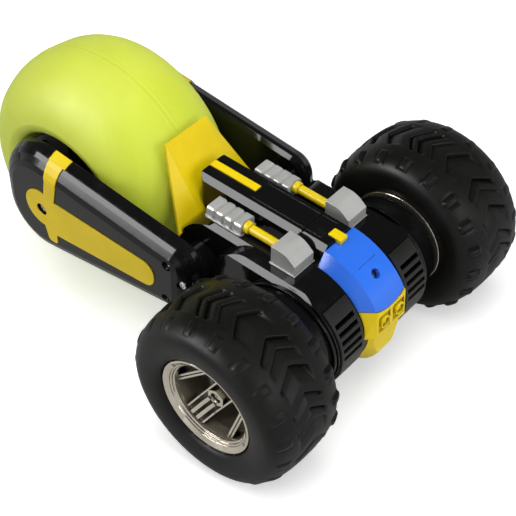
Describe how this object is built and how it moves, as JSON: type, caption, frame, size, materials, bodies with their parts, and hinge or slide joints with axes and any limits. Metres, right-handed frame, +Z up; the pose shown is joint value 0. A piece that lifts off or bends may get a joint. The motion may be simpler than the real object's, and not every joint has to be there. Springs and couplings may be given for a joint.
{
  "type": "rc stunt car",
  "caption": "Three-wheeled remote control stunt car: two chunky driven front wheels and a large air-filled rear wheel in a sprung swinging fork.",
  "frame": {"origin": "centre of the footprint box on the floor the three wheels stand on", "axes": "+X forward towards the nose, +Y to the car's left, +Z up; the chassis sits 7.6 degrees nose-down"},
  "size_m": [0.3072, 0.2268, 0.1566],
  "materials": {
    "black_gloss": "injection-moulded, polished",
    "black_satin": "injection-moulded, satin",
    "blue_plastic": "injection-moulded, gloss",
    "yellow_plastic": "injection-moulded, semi-gloss",
    "yellow_trim": "moulded, satin",
    "silver_plastic": "silver paint on plastic, satin",
    "tyre_rubber": "matte rubber",
    "chrome": "vacuum-plated plastic, bright",
    "lime_vinyl": "soft vinyl skin, fine matte",
    "zinc_screw": "zinc plated",
    "steel": "drawn bar, bright",
    "brass": "turned",
    "white_nylon": "moulded nylon",
    "board_green": "solder mask",
    "component_black": "moulded packages",
    "cell_can": "wrapped cells"
  },
  "bodies": {
    "chassis": {"upper_shell": "black_gloss", "lower_shell": "black_gloss", "spine_rear_cover": "black_gloss", "spine_front_cover": "black_gloss", "spine_inserts": "yellow_plastic", "visor": "blue_plastic", "bumper": "yellow_plastic", "mudguard": "yellow_plastic", "left_engine_block": "silver_plastic", "right_engine_block": "silver_plastic", "left_piston_rod": "yellow_plastic", "right_piston_rod": "yellow_plastic", "left_intake_scoop": "silver_plastic", "right_intake_scoop": "silver_plastic", "left_vent_grille": "black_satin", "right_vent_grille": "black_satin", "left_axle_housing": "black_gloss", "right_axle_housing": "black_gloss", "left_gearbox_case": "black_satin", "right_gearbox_case": "black_satin", "gearbox_lids": "black_satin", "left_motor": "steel", "right_motor": "steel", "circuit_board": "board_green", "board_components": "component_black", "battery_cells": "cell_can", "battery_contacts": "brass", "switch_body": "black_satin", "charge_socket": "black_satin", "body_screws": "zinc_screw", "axle_bushes": "brass", "gear_pins": "steel", "fork_pivot_shaft": "steel", "fork_spring": "steel"},
    "left_wheel": {"left_tyre": "tyre_rubber", "left_rim": "chrome", "left_front_axle": "steel", "left_output_gear": "white_nylon", "left_wheel_screw": "zinc_screw"},
    "left_idler": {"left_compound_gear": "white_nylon"},
    "left_motor_rotor": {"left_motor_pinion": "brass"},
    "right_wheel": {"right_tyre": "tyre_rubber", "right_rim": "chrome", "right_front_axle": "steel", "right_output_gear": "white_nylon", "right_wheel_screw": "zinc_screw"},
    "right_idler": {"right_compound_gear": "white_nylon"},
    "right_motor_rotor": {"right_motor_pinion": "brass"},
    "fork": {"left_arm_inner_half": "black_gloss", "right_arm_inner_half": "black_gloss", "left_arm_outer_half": "black_gloss", "right_arm_outer_half": "black_gloss", "arm_trims": "yellow_trim", "rear_axle": "steel", "arm_screws": "zinc_screw"},
    "balloon_wheel": {"balloon_tyre": "lime_vinyl", "rear_hub_halves": "black_satin"},
    "battery_door": {"battery_cover": "black_gloss", "battery_cover_screw": "zinc_screw"},
    "switch_knob": {"power_switch": "black_satin"}
  },
  "joints": [
    {"name": "left_wheel_spin", "type": "hinge", "parent": "chassis", "child": "left_wheel", "pos_m": [0.09862, 0.0856, 0.055], "axis": [0, 1, 0], "continuous": true},
    {"name": "left_idler_spin", "type": "hinge", "parent": "chassis", "child": "left_idler", "pos_m": [0.08024, 0.0286, 0.06055], "axis": [0, 1, 0], "continuous": true},
    {"name": "left_motor_spin", "type": "hinge", "parent": "chassis", "child": "left_motor_rotor", "pos_m": [0.06949, 0.015, 0.07101], "axis": [0, 1, 0], "continuous": true},
    {"name": "right_wheel_spin", "type": "hinge", "parent": "chassis", "child": "right_wheel", "pos_m": [0.09862, -0.0856, 0.055], "axis": [0, 1, 0], "continuous": true},
    {"name": "right_idler_spin", "type": "hinge", "parent": "chassis", "child": "right_idler", "pos_m": [0.08024, -0.0286, 0.06055], "axis": [0, 1, 0], "continuous": true},
    {"name": "right_motor_spin", "type": "hinge", "parent": "chassis", "child": "right_motor_rotor", "pos_m": [0.06949, -0.015, 0.07101], "axis": [0, 1, 0], "continuous": true},
    {"name": "fork_pivot", "type": "hinge", "parent": "chassis", "child": "fork", "pos_m": [0.03004, 0, 0.07024], "axis": [0, 1, 0], "range_deg": [-12, 4], "stiffness_Nm_per_rad": 6},
    {"name": "balloon_spin", "type": "hinge", "parent": "fork", "child": "balloon_wheel", "pos_m": [-0.07532, 0, 0.0783], "axis": [0, 1, 0], "continuous": true},
    {"name": "battery_door_hinge", "type": "hinge", "parent": "chassis", "child": "battery_door", "pos_m": [0.04659, 0, 0.02963], "axis": [0, 1, 0], "range_deg": [0, 85]},
    {"name": "power_switch_slide", "type": "slide", "parent": "chassis", "child": "switch_knob", "axis": [0.9911, 0, -0.1328], "range_m": [0, 0.004]}
  ],
  "couplings": [
    {"joint": "left_idler_spin", "follows": "left_wheel_spin", "ratio": -3},
    {"joint": "left_motor_spin", "follows": "left_wheel_spin", "ratio": 12},
    {"joint": "right_idler_spin", "follows": "right_wheel_spin", "ratio": -3},
    {"joint": "right_motor_spin", "follows": "right_wheel_spin", "ratio": 12}
  ]
}
